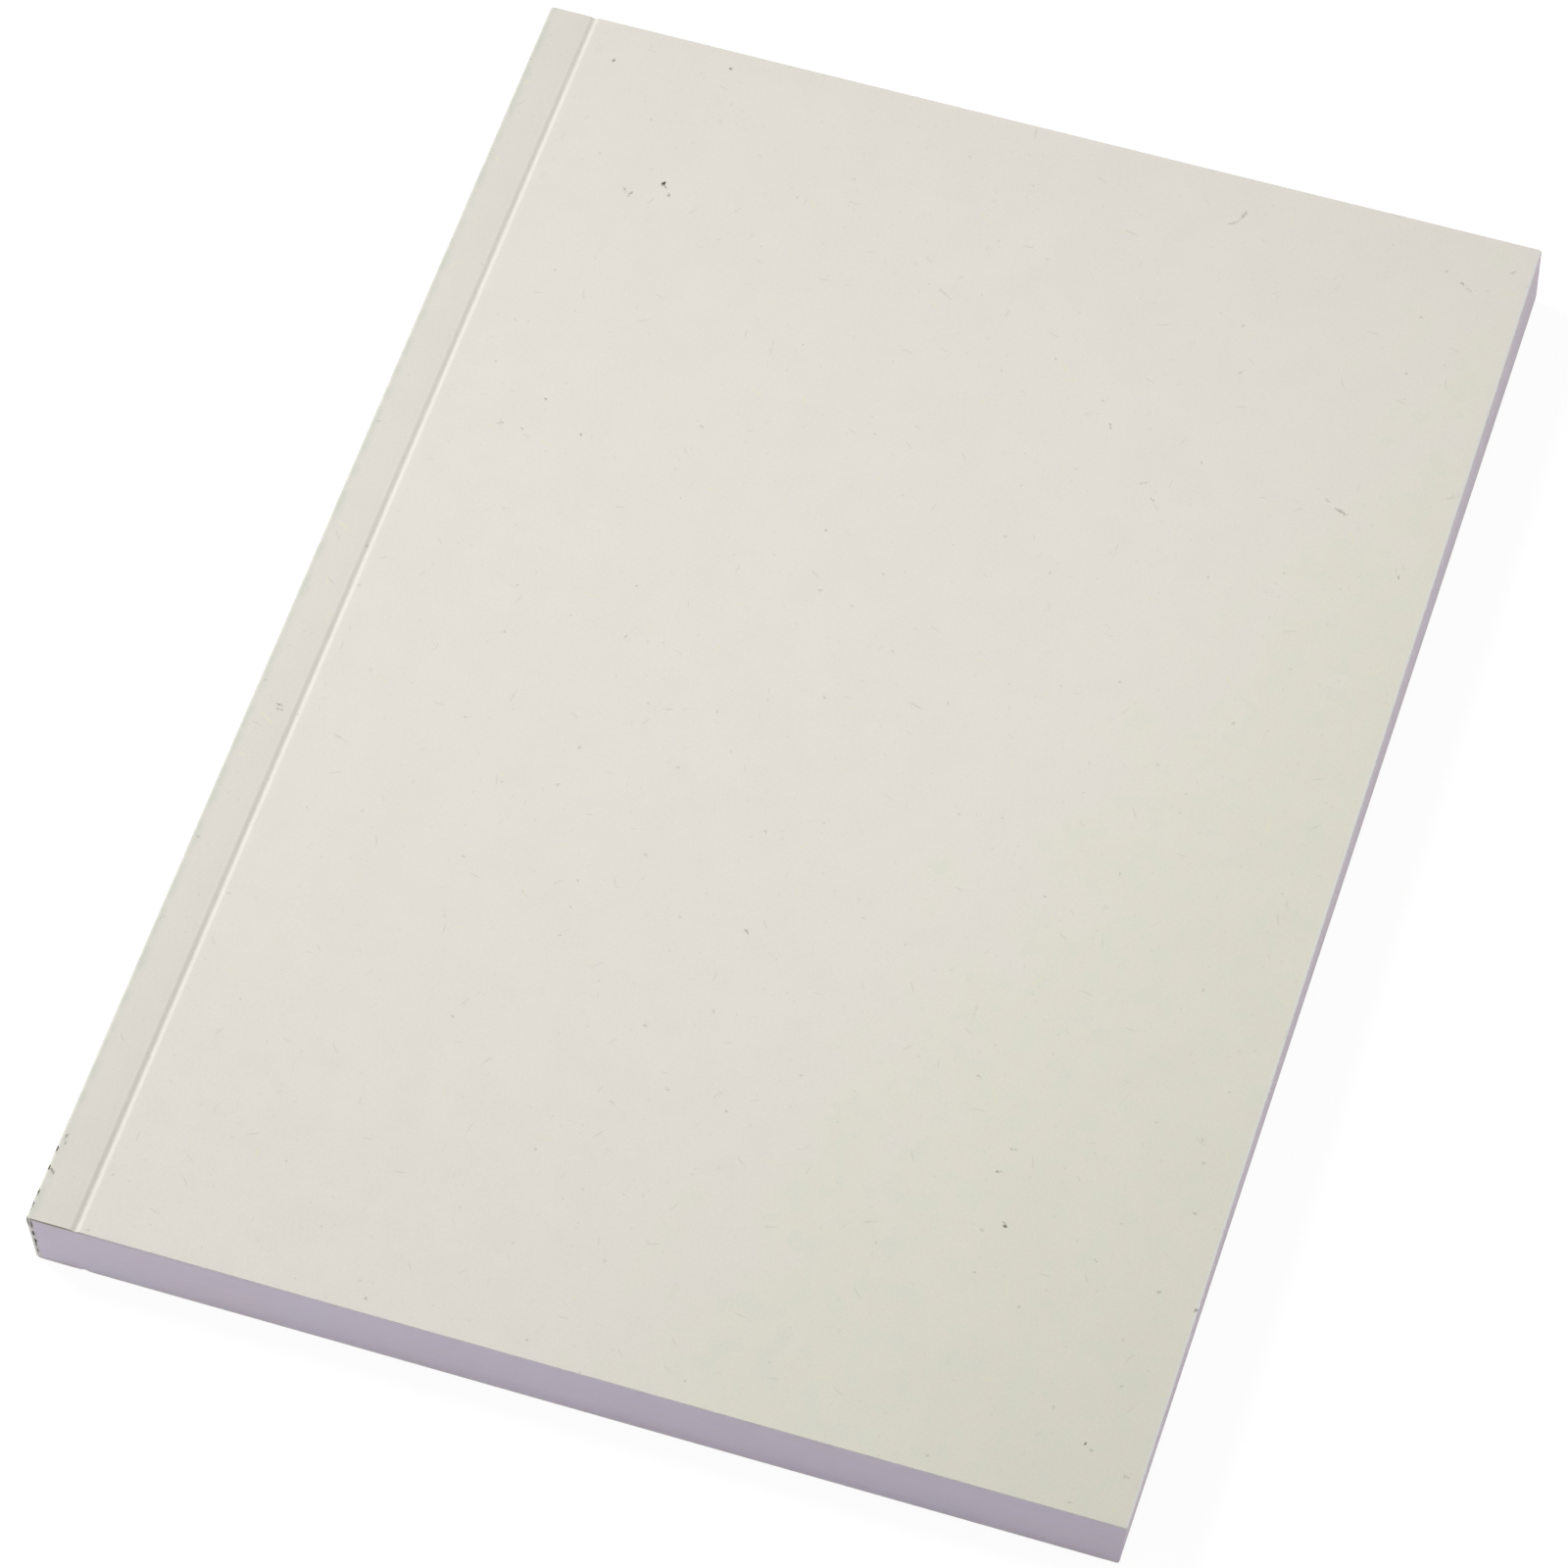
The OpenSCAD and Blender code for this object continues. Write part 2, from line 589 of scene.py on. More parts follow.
def ramp(tree, value, start, end, low=0.0, high=1.0):
    """Low before start, high after end, and smooth between; start may lie above end."""
    if start > end:
        start, end, low, high = end, start, high, low
    feeds = {"Value": value, 1: start, 2: end, 3: low, 4: high}
    return put(tree, "MapRange", feeds, interpolation_type="SMOOTHSTEP").outputs[0]


# %% [markdown]
# # Marks in the card
# Recycled card is full of small foreign matter: dark specks, bark, and curled fibres. A photograph
# of it would be a flat print. Here a Voronoi texture deals one random particle to each cell, and
# the few large marks that anybody would know this cover by are placed one by one.

# %% Helpers for specks and fibres


def particle(tree, local, bow=0.0, depth=1.0):
    """The depth inside a disc of radius 1 round the origin, bent into a bow, and 0 outside it."""
    if bow:
        split = put(tree, "SeparateXYZ", {0: local})
        bent = sums(tree, "MULTIPLY", sums(tree, "POWER", split.outputs[0], 2), bow)
        bent = sums(tree, "SUBTRACT", split.outputs[1], bent)
        local = put(tree, "CombineXYZ", {0: split.outputs[0], 1: bent}).outputs[0]
    reach = put(tree, "VectorMath", {0: local}, operation="LENGTH").outputs["Value"]
    return ramp(tree, reach, 1.2, 0.6, 0, depth)


def scattered(tree, place, spacing, length, width, share, shift, bow=0.0):
    """Random particles, one in a given share of the cells, each turned its own way."""
    moved = put(tree, "VectorMath", {0: place, 1: shift}, operation="ADD").outputs[0]
    cells = put(tree, "TexVoronoi", {"Vector": moved, "Scale": 1 / spacing}, voronoi_dimensions="2D")
    away = put(
        tree, "VectorMath", {0: moved, 1: cells.outputs["Position"]}, operation="SUBTRACT"
    ).outputs[0]
    luck = put(tree, "SeparateColor", {0: cells.outputs["Color"]})
    angle = sums(tree, "MULTIPLY", luck.outputs[1], math.tau)
    local = put(
        tree, "VectorRotate", {"Vector": away, "Angle": angle}, rotation_type="Z_AXIS"
    ).outputs[0]
    shrink = ramp(tree, luck.outputs[2], 0, 1, 2.2, 0.8)
    narrow = sums(tree, "DIVIDE", shrink, width / 2)
    short = sums(tree, "DIVIDE", shrink, length / 2)
    sizes = put(tree, "CombineXYZ", {0: short, 1: narrow}).outputs[0]
    local = put(tree, "VectorMath", {0: local, 1: sizes}, operation="MULTIPLY").outputs[0]
    chosen = sums(tree, "LESS_THAN", luck.outputs[0], share)
    return sums(tree, "MULTIPLY", particle(tree, local, bow), chosen)


def placed(tree, place, x, y, length, width, degrees, depth, bow=0.0):
    """One mark at x, y on the front cover, in millimetres from the middle of the book."""
    straight = (middle_z - fold_radius + fold_radius * math.pi / 2) / MM
    u = MAP_START / MM + straight + x - (spine_x + fold_radius) / MM
    v = y - tail_y / MM
    feeds = {
        "Vector": place,
        "Location": (u, v, 0),
        "Rotation": (0, 0, math.radians(degrees)),
        "Scale": (length / 2, width / 2, 1),
    }
    local = put(tree, "Mapping", feeds, vector_type="TEXTURE").outputs[0]
    return particle(tree, local, bow, depth)


# %% [markdown]
# # Cover card
# The card is matt and slightly rough, warm off-white, a little cloudy where the pulp lay thicker,
# and uneven at two scales. Its colour is built from that: base, clouds, grain, then specks and
# fibres, which also stand a hair above the surface and so feed the bump.

# %% The card's surface
CARD_WARM = (231, 226, 218)
CARD_SHADE_TINT = (228, 225, 212)
# painted shade tint, for the side away from the lamp
CARD_PATCH = (223, 224, 212)
HANDLED = (219, 215, 206)
# painted shade on the folds
FOLD_SHADE = (210, 213, 201)
# painted highlight along the fore edge
FORE_EDGE_HIGHLIGHT = (226, 227, 231)
PALE_FIBRE = (231, 228, 204)
BARK = (60, 52, 34)

# Along the card, in millimetres from the middle of the spine.
FOLD_AT = 5.1
STRIP_END = 11.4
FORE_EDGE_AT = 152.9

# x, y, length, width (mm), angle (degrees), darkness, bow
FRONT_MARKS = (
    (-48.2, 79.3, 0.80, 0.62, 80, 1.0, 0),
    (-47.8, 78.8, 0.80, 0.32, 150, 0.7, 0),
    (-46.9, 77.6, 0.90, 0.32, 100, 0.45, 0),
    (-53.1, 76.6, 1.30, 0.28, 130, 0.42, 0.3),
    (-52.2, 76.1, 1.20, 0.28, 70, 0.40, 0),
    (32.1, 98.4, 1.90, 0.40, 72, 0.34, -0.3),
    (31.2, 96.8, 2.20, 0.32, 42, 0.20, 0.4),
    (58.8, 53.2, 2.40, 0.40, 160, 0.34, -0.35),
    (56.6, 54.5, 1.50, 0.26, 140, 0.20, 0),
    (-69.9, -20.5, 1.30, 0.26, 178, 0.40, 0),
    (-69.7, -21.2, 1.30, 0.26, 4, 0.42, 0),
    (46.9, -68.1, 0.62, 0.46, 120, 0.75, 0),
    (46.6, -67.6, 0.70, 0.24, 150, 0.4, 0),
    (-62.1, 98.3, 0.62, 0.42, 30, 0.6, 0),
    (44.8, -56.9, 1.40, 0.28, 0, 0.28, 0.3),
    (43.8, -60.7, 0.75, 0.36, 10, 0.5, 0),
    (1.6, -35.8, 1.10, 0.30, 128, 0.38, 0.4),
    (65.6, -95.2, 0.50, 0.44, 0, 0.75, 0),
    (73.7, -72.5, 0.60, 0.42, 60, 0.6, 0),
    (59.4, -69.4, 0.50, 0.34, 0, 0.32, 0),
    (68.5, -71.4, 0.50, 0.30, 0, 0.28, 0),
    (69.8, -58.9, 0.80, 0.30, 10, 0.24, 0),
    (71.9, -98.1, 1.20, 0.30, 0, 0.24, 0),
    (24.4, 57.6, 1.30, 0.30, 112, 0.30, 0.2),
    (31.6, 49.8, 1.60, 0.26, 30, 0.20, 0.4),
    (33.3, 47.5, 1.10, 0.34, 155, 0.26, 0.4),
    (-45.5, 101.9, 0.55, 0.40, 93, 0.6, 0),
    (-56.7, 32.8, 1.20, 0.40, 23, 0.22, 0),
    (69.2, 45.1, 0.70, 0.34, 106, 0.5, 0),
    (64.8, 96.0, 0.60, 0.44, 145, 0.42, 0),
    (65.9, 95.3, 1.60, 0.22, 140, 0.20, 0.2),
    (71.2, 100.0, 1.20, 0.34, 41, 0.22, 0.2),
    (-29.8, 40.6, 0.50, 0.34, 0, 0.3, 0),
    (-52.0, 38.6, 0.50, 0.34, 0, 0.36, 0),
    (-45.4, 34.3, 0.60, 0.30, 80, 0.34, 0),
    (-28.1, -103.0, 0.50, 0.40, 0, 0.3, 0),
    (-73.25, -92.1, 1.20, 0.34, 76, 0.38, 0),
    (-73.0, -93.1, 0.60, 0.28, 130, 0.4, 0),
    (-73.2, -97.5, 1.20, 0.36, 130, 0.5, 0.2),
    (-73.8, -101.6, 1.10, 0.36, 90, 0.4, 0),
    (-73.8, -103.2, 1.60, 0.36, 90, 0.36, 0),
)


def shades(tree, *values):
    """Multiplies single values together and gives the product as a grey colour."""
    product = values[0]
    for value in values[1:]:
        product = sums(tree, "MULTIPLY", product, value)
    return put(tree, "CombineColor", {0: product, 1: product, 2: product}).outputs[0]


def card_nodes(tree, shader, marks):
    place = on_the_sheet(tree)
    split = put(tree, "SeparateXYZ", {0: place})
    clouds = noise(tree, place, 9, 2, 0.6, space="2D")
    flecks = noise(tree, place, 3.5, 1, 0.55, (7, 3, 0), space="2D")
    grain = noise(tree, place, 0.45, 3, 0.65, space="2D")

    # Towards the fore edge and the tail, the side away from the lamp, the card is painted a little
    # greener and darker: a painted shade tint. Small greener patches lie at random, stronger there.
    drift = sums(tree, "MULTIPLY", split.outputs[1], -0.35)
    drift = sums(tree, "ADD", drift, sums(tree, "MODULO", split.outputs[0], INSIDE_SHIFT / MM))
    drift = sums(tree, "ADD", drift, sums(tree, "MULTIPLY", clouds, 60))
    painted_shade_tint = ramp(tree, drift, 304, 334)
    colour = mix(tree, painted_shade_tint, paint(*CARD_WARM), paint(*CARD_SHADE_TINT))
    patches = ramp(tree, flecks, 0.45, 0.7, 0, 0.7)
    patches = sums(tree, "MULTIPLY", patches, ramp(tree, painted_shade_tint, 0, 1, 0.15, 1))
    colour = mix(tree, patches, colour, paint(*CARD_PATCH))

    # The hinge strips and the folds are handled most, and are a little soiled. On top of that,
    # the folds are painted darker and greener: painted shade, which dims the light that the lamp
    # throws on them. Along the fore edge a thin, paler line is a painted highlight on the rim.
    from_spine = sums(tree, "ABSOLUTE", sums(tree, "SUBTRACT", split.outputs[0], MAP_START / MM))
    handled = ramp(tree, from_spine, STRIP_END, STRIP_END - 0.8, 0, 0.5)
    colour = mix(tree, handled, colour, paint(*HANDLED))
    from_fold = sums(tree, "ABSOLUTE", sums(tree, "SUBTRACT", from_spine, FOLD_AT))
    # Painted shade: the folds are painted darker and greener, in patches.
    painted_fold_shade = ramp(tree, from_fold, 0.3, 1.6, 0.75, 0)
    painted_fold_shade = sums(tree, "MULTIPLY", painted_fold_shade, ramp(tree, flecks, 0.3, 0.65, 0.3, 1.1))
    colour = mix(tree, painted_fold_shade, colour, paint(*FOLD_SHADE))
    # Painted highlight: a thin, paler, bluish line along the fore edge of the top face.
    painted_fore_edge_highlight = ramp(tree, from_spine, FORE_EDGE_AT - 0.4, FORE_EDGE_AT, 0, 0.7)
    colour = mix(tree, painted_fore_edge_highlight, colour, paint(*FORE_EDGE_HIGHLIGHT))
    # Painted shade: the folds are made a few percent darker still.
    fold_shade_dim = ramp(tree, from_fold, 0.2, 0.75, 0.96, 1)
    soft = ramp(tree, clouds, 0.3, 0.7, 0.993, 1.007)
    fine = ramp(tree, grain, 0.3, 0.7, 0.986, 1.014)
    colour = mix(tree, 1.0, colour, shades(tree, soft, fine, fold_shade_dim), "MULTIPLY")

    # Ragged outlines: the place is shaken before the particles are drawn.
    feeds = {"Vector": place, "Scale": 3.2, "Detail": 1.0}
    shake = put(tree, "TexNoise", feeds, noise_dimensions="2D").outputs["Color"]
    shake = put(tree, "VectorMath", {0: shake, 1: (0.5, 0.5, 0.5)}, operation="SUBTRACT").outputs[0]
    shake = put(tree, "VectorMath", {0: shake, 1: (0.7, 0.7, 0)}, operation="MULTIPLY").outputs[0]
    ragged = put(tree, "VectorMath", {0: place, 1: shake}, operation="ADD").outputs[0]
    pale = scattered(tree, ragged, 11, 2.4, 0.36, 0.5, (3, 40, 0), 0.5)
    colour = mix(tree, sums(tree, "MULTIPLY", pale, 0.5), colour, paint(*PALE_FIBRE))
    fibres = scattered(tree, place, 7, 1.6, 0.20, 0.6, (5, 77, 0), 0.8)
    dark = sums(tree, "MULTIPLY", fibres, 0.10)
    for spacing, length, width, share, shift, depth in (
        (2.3, 0.36, 0.26, 0.5, (12, 5, 0), 0.07),
        (7.5, 0.50, 0.30, 0.5, (60, 21, 0), 0.20),
        (19, 2.6, 0.24, 0.5, (90, 33, 0), 0.13),
    ):
        found = scattered(tree, ragged, spacing, length, width, share, shift)
        dark = sums(tree, "MAXIMUM", dark, sums(tree, "MULTIPLY", found, depth))
    for mark in marks:
        dark = sums(tree, "MAXIMUM", dark, placed(tree, ragged, *mark))
    colour = mix(tree, dark, colour, paint(*BARK))
    tree.links.new(colour, shader.inputs["Base Color"])

    height = sums(tree, "ADD", grain, sums(tree, "MULTIPLY", clouds, 2.5))
    height = sums(tree, "ADD", height, sums(tree, "MULTIPLY", fibres, 0.9))
    bump = put(tree, "Bump", {"Strength": 0.6, "Distance": 0.018 * MM, "Height": height})
    tree.links.new(bump.outputs[0], shader.inputs["Normal"])
    rough = ramp(tree, grain, 0.2, 0.8, 0.82, 0.94)
    tree.links.new(rough, shader.inputs["Roughness"])


card_front, tree, shader = new_finish("recycled_card_front", 0.88, 0.25)
card_nodes(tree, shader, FRONT_MARKS)
print("the front's card uses", len(tree.nodes), "nodes")
card_plain, tree, shader = new_finish("recycled_card", 0.88, 0.25)
card_nodes(tree, shader, ())
print("the plain card uses", len(tree.nodes), "nodes")

# %% [markdown]
# # Cut edge of the card
# Where the guillotine went through, the card shows its core: greyer and cooler than the face, so
# that it nearly passes for another leaf. Over the glued strip of the front the cut is painted dark
# olive: painted shade of the narrow gap between the card and the leaves. At the fore edge the cut
# is painted paler: a painted highlight.

# %% The card's rim
CORE_PALE = (220, 213, 219)
CORE_DARK = (208, 201, 207)
# painted highlight on the cut at the fore edge
CORE_FORE_EDGE_HIGHLIGHT = (222, 223, 214)
# painted shade of the gap under the card
CORE_GAP_SHADE = (160, 154, 141)
CORE_AT_SPINE = (222, 220, 213)
CORE_KNOCKED = (128, 132, 118)

card_rim, tree, shader = new_finish("card_cut_edge", 0.92, 0.2)
place = on_the_sheet(tree)
drawn = noise(tree, place, 0.5, 3, 0.6, (9, 2, 0))
core = mix(tree, ramp(tree, drawn, 0.3, 0.7), paint(*CORE_PALE), paint(*CORE_DARK))
along = put(tree, "SeparateXYZ", {0: place}).outputs[0]
along = sums(tree, "SUBTRACT", along, MAP_START / MM)
from_spine = sums(tree, "ABSOLUTE", along)
# Painted highlight: the cut at the fore edge is painted paler.
painted_rim_highlight = ramp(tree, from_spine, 151, 152)
core = mix(tree, painted_rim_highlight, core, paint(*CORE_FORE_EDGE_HIGHLIGHT))
# Painted shade: over the glued strip the cut is painted dark olive, for the gap under the card.
painted_gap_shade = sums(tree, "MULTIPLY", ramp(tree, along, 4.6, 5.6), ramp(tree, along, 14.5, 11))
core = mix(tree, painted_gap_shade, core, paint(*CORE_GAP_SHADE))
over_spine = ramp(tree, from_spine, 5.8, 5.0)
core = mix(tree, over_spine, core, paint(*CORE_AT_SPINE))
knocked = sums(tree, "MULTIPLY", ramp(tree, along, 2.4, 4.2), ramp(tree, along, 5.6, 4.8))
knocked = sums(tree, "MULTIPLY", knocked, ramp(tree, drawn, 0.3, 0.6, 0.5, 1))
core = mix(tree, knocked, core, paint(*CORE_KNOCKED))
tree.links.new(core, shader.inputs["Base Color"])
bump = put(tree, "Bump", {"Strength": 0.5, "Distance": 0.015 * MM, "Height": drawn})
tree.links.new(bump.outputs[0], shader.inputs["Normal"])

# %% [markdown]
# # Leaf edges and leaf faces
# Bright writing paper looks faintly violet beside the warm card, because it carries a blueing dye.
# Along the trimmed edges each leaf has its own tone. The top and bottom leaf show their faces only
# when a cover is open, and those are smoother and nearly white.

# %% The paper
EDGE_VIOLET = (210, 199, 215)
EDGE_PALE = (216, 207, 221)
EDGE_GREY = (211, 203, 211)
EDGE_BLUE = (212, 205, 222)
FACE_DARK = (236, 233, 239)
FACE_PALE = (239, 237, 241)
FACE_GRAIN = (226, 223, 230)

leaf_edge, tree, shader = new_finish("trimmed_leaf_edges", 0.9, 0.2)
stretched = in_the_object(tree, (60, 60, 9000))
streaks = noise(tree, stretched, 1, 2, 0.6)
bands = noise(tree, in_the_object(tree, (12, 12, 700)), 1, 1, 0.5, (4, 8, 2))
blotches = noise(tree, in_the_object(tree), 16, 2, 0.5)
tone = mix(tree, ramp(tree, streaks, 0.25, 0.75), paint(*EDGE_VIOLET), paint(*EDGE_PALE))
tone = mix(tree, ramp(tree, bands, 0.3, 0.7, 0, 0.4), tone, paint(*EDGE_GREY))
tone = mix(tree, ramp(tree, blotches, 0.35, 0.7, 0, 0.5), tone, paint(*EDGE_BLUE))
tree.links.new(tone, shader.inputs["Base Color"])
fuzz = noise(tree, in_the_object(tree), 0.12, 2, 0.6)
bump = put(tree, "Bump", {"Strength": 0.4, "Distance": 0.01 * MM, "Height": fuzz})
tree.links.new(bump.outputs[0], shader.inputs["Normal"])

leaf_face, tree, shader = new_finish("leaf_faces", 0.86, 0.25)
place = in_the_object(tree)
formation = noise(tree, place, 2.2, 3, 0.55)
tone = mix(tree, ramp(tree, formation, 0.3, 0.7), paint(*FACE_DARK), paint(*FACE_PALE))
grain = noise(tree, place, 0.25, 2, 0.6)
tone = mix(tree, ramp(tree, grain, 0.3, 0.8, 0, 0.35), tone, paint(*FACE_GRAIN))
tree.links.new(tone, shader.inputs["Base Color"])
bump = put(tree, "Bump", {"Strength": 0.4, "Distance": 0.01 * MM, "Height": grain})
tree.links.new(bump.outputs[0], shader.inputs["Normal"])

# %% [markdown]
# # Adhesive and frayed card
# The adhesive shows only at its cut ends: nearly clear between card and leaves, so that it takes
# the tone of the paper, with brown dashes where milling dust was burnt into it. Its thin film above
# and below is painted dark olive, a painted shade of the gap there. At the tail the dashes are
# placed as seen, and at the head they are left to chance. Where the fold has been knocked, the
# card's brown core shows.

# %% The adhesive
GLUE_CLEAR = (214, 205, 214)
GLUE_CLOUDED = (196, 188, 190)
# painted shade of the gap between card and leaves
GLUE_GAP_SHADE = (150, 142, 122)
BURNT_DUST = (48, 40, 34)
FRAYED_DARK = (76, 66, 46)
FRAYED_PALE = (136, 124, 96)

# height above the table, length, width (mm), darkness
GLUE_DASHES = (
    (8.9, 2.2, 0.30, 0.8),
    (6.6, 1.3, 0.40, 1.0),
    (4.6, 1.1, 0.85, 1.0),
    (3.6, 1.4, 0.40, 1.0),
    (2.0, 1.4, 0.55, 1.0),
    (1.0, 0.5, 0.20, 0.5),
)
glue_end, tree, shader = new_finish("hot_melt_adhesive", 0.55, 0.35)
place = in_the_object(tree)
cloudy = noise(tree, place, 1.4, 3, 0.6)
tone = mix(tree, ramp(tree, cloudy, 0.35, 0.65), paint(*GLUE_CLEAR), paint(*GLUE_CLOUDED))
split = put(tree, "SeparateXYZ", {0: place})
from_middle = sums(tree, "ABSOLUTE", sums(tree, "SUBTRACT", split.outputs[2], middle_z / MM))
# Painted shade: the thin film above and below, in the gap between card and leaves, is dark olive.
painted_film_shade = ramp(tree, from_middle, 4.7, 4.85)
tone = mix(tree, painted_film_shade, tone, paint(*GLUE_GAP_SHADE))
wobble = sums(tree, "MULTIPLY", noise(tree, place, 0.5, 2, 0.6, (3, 3, 3)), 0.3)
beside_card = sums(tree, "ADD", split.outputs[0], wobble)
at_the_end = put(tree, "CombineXYZ", {0: split.outputs[2], 1: beside_card}).outputs[0]
dark = None
for height, length, width, depth in GLUE_DASHES:
    feeds = {
        "Vector": at_the_end,
        "Location": (height, spine_x / MM + 0.56, 0),
        "Scale": (length / 2, width / 2, 1),
    }
    local = put(tree, "Mapping", feeds, vector_type="TEXTURE").outputs[0]
    dash = particle(tree, local, 0, depth)
    dark = dash if dark is None else sums(tree, "MAXIMUM", dark, dash)
at_tail = sums(tree, "LESS_THAN", split.outputs[1], 0)
bits = noise(tree, in_the_object(tree, (1400, 1400, 700)), 1, 2, 0.6, (2, 2, 9))
at_head = sums(tree, "SUBTRACT", 1, at_tail)
by_chance = sums(tree, "MULTIPLY", ramp(tree, bits, 0.60, 0.66, 0, 0.9), at_head)
dark = sums(tree, "MAXIMUM", sums(tree, "MULTIPLY", dark, at_tail), by_chance)
tone = mix(tree, dark, tone, paint(*BURNT_DUST))
tree.links.new(tone, shader.inputs["Base Color"])
bump = put(tree, "Bump", {"Strength": 0.5, "Distance": 0.02 * MM, "Height": cloudy})
tree.links.new(bump.outputs[0], shader.inputs["Normal"])

frayed, tree, shader = new_finish("frayed_card_core", 0.95, 0.15)
place = in_the_object(tree)
torn = noise(tree, place, 0.15, 3, 0.7)
tone = mix(tree, ramp(tree, torn, 0.3, 0.7), paint(*FRAYED_DARK), paint(*FRAYED_PALE))
tree.links.new(tone, shader.inputs["Base Color"])
bump = put(tree, "Bump", {"Strength": 0.8, "Distance": 0.03 * MM, "Height": torn})
tree.links.new(bump.outputs[0], shader.inputs["Normal"])

# %% Give each piece its finish
for piece in (front, back, spine):
    piece.data.materials.append(card_plain if piece is back else card_front)
    piece.data.materials.append(card_rim)
glue.data.materials.append(glue_end)
leaves.data.materials.append(leaf_edge)
leaves.data.materials.append(leaf_face)
for face in leaves.data.polygons:
    face.material_index = 1 if abs(face.normal.z) > 0.9 and len(face.vertices) > 4 else 0

# %% [markdown]
# # Knocks on the fold
# The front fold has been knocked near the tail: a handful of small chips where the card's skin is
# gone. A stain would stay flat under a raking light, so each chip is a real hollow, cut by a
# rough, flattened pebble whose own finish stays on the cut.

# %% Chip the fold
# distance from the tail, length, width (mm), place on the fold (degrees, 90 is the top)
CHIPS = (
    (0.2, 0.6, 0.26, 30),
    (2.3, 0.7, 0.26, 46),
    (4.1, 0.8, 0.32, 54),
    (7.9, 0.9, 0.32, 54),
    (10.8, 1.0, 0.40, 52),
)
for number, (distance, length, width, degrees) in enumerate(CHIPS):
    turn = math.radians(degrees)
    out = Vector((-math.cos(turn), 0, math.sin(turn)))
    centre = Vector((spine_x + fold_radius, tail_y + distance * MM, top_z - fold_radius))
    bpy.ops.object.select_all(action="DESELECT")
    bpy.ops.mesh.primitive_ico_sphere_add(
        subdivisions=2,
        radius=0.5 * MM,
        calc_uvs=False,
        location=centre + out * fold_radius,
        scale=(width, length, width),
    )
    pebble = bpy.context.object
    bpy.ops.object.transform_apply(location=True, rotation=True, scale=True)
    pebble.data.materials.append(frayed)
    open_up(pebble)
    bpy.ops.mesh.select_all(action="SELECT")
    bpy.ops.transform.vertex_random(offset=0.05 * MM, seed=number)
    bpy.ops.object.mode_set(mode="OBJECT")
    cut = spine.modifiers.new("chip", "BOOLEAN")
    cut.object = pebble
    cut.operation = "DIFFERENCE"
    cut.solver = "EXACT"
    cut.material_mode = "TRANSFER"
    apply_all(spine)
    bpy.data.objects.remove(pebble)
    print("chip", number, "cut at", distance, "mm from the tail")
count(spine)

# %% [markdown]
# # Out of square
# The real book isn't trimmed quite square: seen from the tail, the fore edge leans in a little
# towards the back cover. A 2 by 2 by 2 Lattice round the whole book moves its corners, none by
# more than half a millimetre, and takes all pieces along together.

# %% Lean the corners
book_middle = (Vector(cad_box[0]) + Vector(cad_box[1])) / 2
book_size = Vector(cad_box[1]) - Vector(cad_box[0])
# which corner (1 for the fore edge, the head, the top): its shift along X and Y in millimetres
LEAN = {
    (1, 0, 0): (-0.46, 0),
    (0, 0, 0): (0.24, 0),
    (0, 0, 1): (-0.27, 0),
    (1, 0, 1): (0.36, 0),
    (1, 1, 1): (-0.18, 0.26),
    (1, 1, 0): (0, -0.20),
}
bpy.ops.object.select_all(action="DESELECT")
bpy.ops.object.add(type="LATTICE", location=book_middle)
cage = bpy.context.object
cage.scale = book_size
cage.data.interpolation_type_u = "KEY_LINEAR"
cage.data.interpolation_type_v = "KEY_LINEAR"
cage.data.interpolation_type_w = "KEY_LINEAR"
for (at_fore, at_head, at_top), (along_x, along_y) in LEAN.items():
    corner = cage.data.points[at_fore + 2 * at_head + 4 * at_top]
    corner.co_deform.x += along_x * MM / book_size.x
    corner.co_deform.y += along_y * MM / book_size.y
bpy.context.view_layer.update()
for piece in (front, back, spine, glue, leaves):
    lean = piece.modifiers.new("lean", "LATTICE")
    lean.object = cage
    apply_all(piece)
bpy.data.objects.remove(cage)

# %% Smooth what is round
for piece in (front, back, spine):
    take(piece)
    bpy.ops.object.shade_smooth_by_angle(angle=math.radians(32))

# %% [markdown]
# # What moves with what
# The block, the adhesive and the spine stay together, tied to the block's body. Each cover card
# crosses its own hinge; here it only keeps its place, and its CAD node is hidden.

# %% Tie the block's pieces to their body
for piece, node, slot in (
    (leaves, "page_block", "page_paper"),
    (glue, "spine_adhesive", "adhesive"),
    (spine, "spine_cover", "cover_card"),
):
    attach(piece, "block")
    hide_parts(node)

for piece, body, node, hinge_z in (
    (front, "front", "front_cover", top_z - card / 2),
    (back, "back", "back_cover", card / 2),
):
    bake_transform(piece)
    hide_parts(node)

# %% [markdown]
# # Floor
# The notebook lies on plain white. A floor of pure light would swallow the shadow that seats the
# book, so the floor is matt white paint for every ray that carries light, and what the camera
# sees is part paint and part white glow. The world shows white to the camera in the same way.
# The floor lies half a millimetre low, because a fully opened back cover comes down that far.

# %% White floor and white surroundings
FLOOR_GLOW = 0.85
GLOW_STRENGTH = 1.09
FLOOR_Z = -0.5 * MM
bpy.ops.object.select_all(action="DESELECT")
bpy.ops.mesh.primitive_plane_add(size=6, location=(0, 0, FLOOR_Z))
floor = bpy.context.object
floor.name = "floor"


def seen_directly(tree):
    """1 for rays that show the background itself: to the camera, in a reflection or through glass."""
    path = put(tree, "LightPath").outputs
    shown = sums(tree, "MAXIMUM", path["Is Camera Ray"], path["Is Glossy Ray"])
    return sums(tree, "MAXIMUM", shown, path["Is Transmission Ray"])


